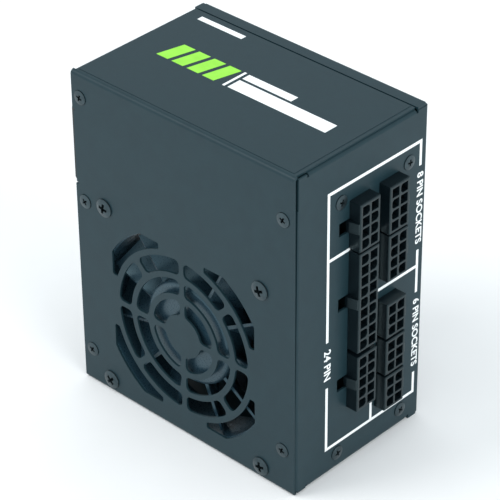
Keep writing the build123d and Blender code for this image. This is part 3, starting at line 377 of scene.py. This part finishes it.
def solid_corners(node):
    """Lowest and highest corner of every separate solid of a CAD node."""
    shell = bmesh.new()
    shell.from_mesh(frame["nodes"][node].data)
    bmesh.ops.remove_doubles(shell, verts=shell.verts, dist=1e-6)
    matrix = frame["nodes"][node].matrix_world
    left = set(shell.verts)
    found = []
    while left:
        reached = [left.pop()]
        members = list(reached)
        while reached:
            vertex = reached.pop()
            for edge in vertex.link_edges:
                other = edge.other_vert(vertex)
                if other in left:
                    left.remove(other)
                    reached.append(other)
                    members.append(other)
        spots = [matrix @ v.co for v in members]
        found.append((Vector([min(s[i] for s in spots) for i in range(3)]),
                      Vector([max(s[i] for s in spots) for i in range(3)])))
    shell.free()
    return found


def seats(node, axis, level):
    """Where the screws of a CAD node stand: the middle of each solid, set on its face, in a fixed order."""
    places = []
    for low, high in solid_corners(node):
        place = (low + high) / 2
        place[axis] = level
        places.append(place)
    return sorted(places, key=lambda p: [round(v, 5) for v in p])


screw_tree = cross_head_screw_tree()
on_fan_face = {"Facing": (math.pi / 2, 0, 0), "Material": black_oxide}
on_socket_face = {"Facing": (0, math.pi / 2, 0), "Material": black_oxide}
small_screw = {
    "Head Radius": 2.6 * MM, "Head Height": 0.55 * MM, "Seat Depth": 1.2 * MM, "Shank Radius": 1.45 * MM,
    "Shank Length": 5.0 * MM, "Recess Span": 2.4 * MM,
}
grown("fan_screw_set", seats("fan_screws", 1, fan_plane), screw_tree,
      {**on_fan_face, "Seed": 7}, "case", "black_screw", "fan_screws")
grown("cover_screw_set", seats("cover_screws", 1, fan_plane), screw_tree,
      {**small_screw, **on_fan_face, "Seed": 3}, "case", "black_screw", "cover_screws")
grown("socket_board_screw_set", seats("socket_board_screws", 0, socket_plane), screw_tree,
      {**small_screw, **on_socket_face, "Seed": 11}, "case", "black_screw", "socket_board_screws")


# ---------------------------------------------------------------- printed marks

ink_thickness = 0.03 * MM
ink_lift = 0.01 * MM
stroke_growth = 0.1 * MM


def slab(name, outlines, words, origin, across, along, finish):
    """Ink on a face: flat outlines and words in millimetres across and along the face, as thin solids."""
    normal = across.cross(along)
    frame_of = Matrix((across, along, normal)).transposed().to_4x4()
    place = Matrix.Translation(origin) @ frame_of
    ink = bmesh.new()
    for outline in outlines:
        face = ink.faces.new([ink.verts.new((u * MM, v * MM, 0)) for u, v in outline])
        top = bmesh.ops.extrude_face_region(ink, geom=[face], use_keep_orig=True)
        raised = [v for v in top["geom"] if isinstance(v, bmesh.types.BMVert)]
        bmesh.ops.translate(ink, vec=(0, 0, ink_thickness), verts=raised)
    for text, size, u, v, turn in words:
        curve = bpy.data.curves.new(name + "_word", "FONT")
        curve.body = text
        curve.size = size * MM
        curve.extrude = ink_thickness / 2
        curve.offset = stroke_growth
        curve.align_x = "CENTER"
        curve.align_y = "CENTER"
        word = bpy.data.objects.new(name + "_word", curve)
        bpy.context.collection.objects.link(word)
        bpy.context.view_layer.update()
        graph = bpy.context.evaluated_depsgraph_get()
        letters = bpy.data.meshes.new_from_object(word.evaluated_get(graph))
        bpy.data.objects.remove(word)
        spot = Matrix.Translation((u * MM, v * MM, ink_thickness / 2))
        letters.transform(spot @ Matrix.Rotation(turn, 4, "Z"))
        ink.from_mesh(letters)
    bmesh.ops.remove_doubles(ink, verts=ink.verts, dist=1e-7)
    bmesh.ops.recalc_face_normals(ink, faces=ink.faces)
    ink.transform(place)
    mesh = bpy.data.meshes.new(name)
    ink.to_mesh(mesh)
    ink.free()
    mesh.materials.append(finish)
    piece = bpy.data.objects.new(name, mesh)
    bpy.context.collection.objects.link(piece)
    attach(piece, "case")
    return piece


def bar(u0, u1, v0, v1, lean=0.0):
    """The outline of a bar, whose top may lean across."""
    return [(u0, v0), (u1, v0), (u1 + lean, v1), (u0 + lean, v1)]


# Frame round the sockets: u runs from the fan face, v up from the bottom
line = 1.15
left, right_line, low, high = 15.6, 60.2, 11.0, 111.9
divider_u, left_divider_v, right_divider_v = 38.1, 86.7, 63.2
half = line / 2
socket_frame = [
    bar(left - half, right_line + half, high - half, high + half),
    bar(left - half, right_line + half, low - half, low + half),
    bar(left - half, left + half, 55.0, high - half),
    bar(left - half, left + half, low + half, 36.6),
    bar(right_line - half, right_line + half, 102.6, high - half),
    bar(right_line - half, right_line + half, 52.5, 69.6),
    bar(right_line - half, right_line + half, low + half, 19.3),
    bar(left + half, divider_u + half, left_divider_v - half, left_divider_v + half),
    bar(divider_u - half, divider_u + half, low + half, left_divider_v - half),
    bar(divider_u + half, right_line - half, right_divider_v - half, right_divider_v + half),
]
socket_words = [
    ("24 PIN", 4.4, left, 45.8, -math.pi / 2),
    ("8 PIN SOCKETS", 4.1, right_line, 86.1, -math.pi / 2),
    ("6 PIN SOCKETS", 4.1, right_line, 35.9, -math.pi / 2),
]
slab("socket_panel_print", socket_frame, socket_words, Vector((socket_plane + ink_lift, fan_plane, 0)),
     Vector((0, 1, 0)), Vector((0, 0, 1)), white_ink)

# Plain bars on the side label: u runs from the mains face, v from the back plate
label_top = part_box("side_label")[1][2] + ink_lift
label_corner = Vector((mains_plane, back_plane, label_top))
green_bars = [bar(u, u + 5.2, -37.2, -26.5, 2.6) for u in (13.6, 20.6, 27.6, 34.6)]
white_bars = [
    bar(43.7, 44.7, -37.2, -26.3),
    bar(46.0, 67.5, -30.0, -26.6),
    bar(46.0, 88.4, -37.0, -31.2),
    bar(7.0, 27.5, -11.0, -8.6),
]
slab("label_green_print", green_bars, [], label_corner, Vector((1, 0, 0)), Vector((0, 1, 0)), green_ink)
slab("label_white_print", white_bars, [], label_corner, Vector((1, 0, 0)), Vector((0, 1, 0)), white_ink)


# ---------------------------------------------------------------- camera, floor and light

def aim(azimuth, elevation, roll):
    """Right, up and back directions of a camera that looks at the object."""
    a, e, r = (math.radians(v) for v in (azimuth, elevation, roll))
    back = Vector((math.sin(a) * math.cos(e), -math.cos(a) * math.cos(e), math.sin(e)))
    right = Vector((0, 0, 1)).cross(back).normalized()
    up = back.cross(right)
    return (right * math.cos(r) + up * math.sin(r), up * math.cos(r) - right * math.sin(r), back)


right, up, back = aim(43.56, 33.83, -0.49)
target = Vector((0, 0, case_height / 2)) + right * 0.34 * MM - up * 1.46 * MM
distance = 0.8587
camera = bpy.data.objects.new("camera", bpy.data.cameras.new("camera"))
camera.data.lens = 183.0
camera.data.sensor_width = 36.0
camera.data.clip_start = 0.05
turned_to = Matrix((right, up, back)).transposed().to_4x4()
camera.matrix_world = Matrix.Translation(target + back * distance) @ turned_to
bpy.context.collection.objects.link(camera)
bpy.context.scene.camera = camera
bpy.context.scene.view_settings.view_transform = "Standard"

floor_mesh = bpy.data.meshes.new("floor")
floor_reach = 4.0
floor_corners = [(u * floor_reach, v * floor_reach, 0) for u, v in ((-1, -1), (1, -1), (1, 1), (-1, 1))]
floor_mesh.from_pydata(floor_corners, [], [(0, 1, 2, 3)])
floor = bpy.data.objects.new("floor", floor_mesh)
bpy.context.collection.objects.link(floor)
# Painted studio floor: near white, without gloss.
floor_mesh.materials.append(surface("matt_painted_floor", "#f4f5f5", "#f6f7f7", 0.8, 2.0, 0.0))

world = bpy.data.worlds.new("studio")
world.use_nodes = True
sky = world.node_tree.nodes["Background"]
sky.inputs["Color"].default_value = (0.93, 0.985, 1.02, 1.0)
sky.inputs["Strength"].default_value = 0.95
bpy.context.scene.world = world


def soft_light(name, place, size, watts):
    """A square softbox that faces the object."""
    lamp = bpy.data.lights.new(name, "AREA")
    lamp.size = size
    lamp.energy = watts
    box = bpy.data.objects.new(name, lamp)
    box.location = place
    box.rotation_euler = (target - Vector(place)).to_track_quat("-Z", "Y").to_euler()
    bpy.context.collection.objects.link(box)


soft_light("key_light", (-0.9, -1.1, 1.5), 0.9, 14)
soft_light("fill_light", (1.5, -0.3, 0.9), 0.9, 10)
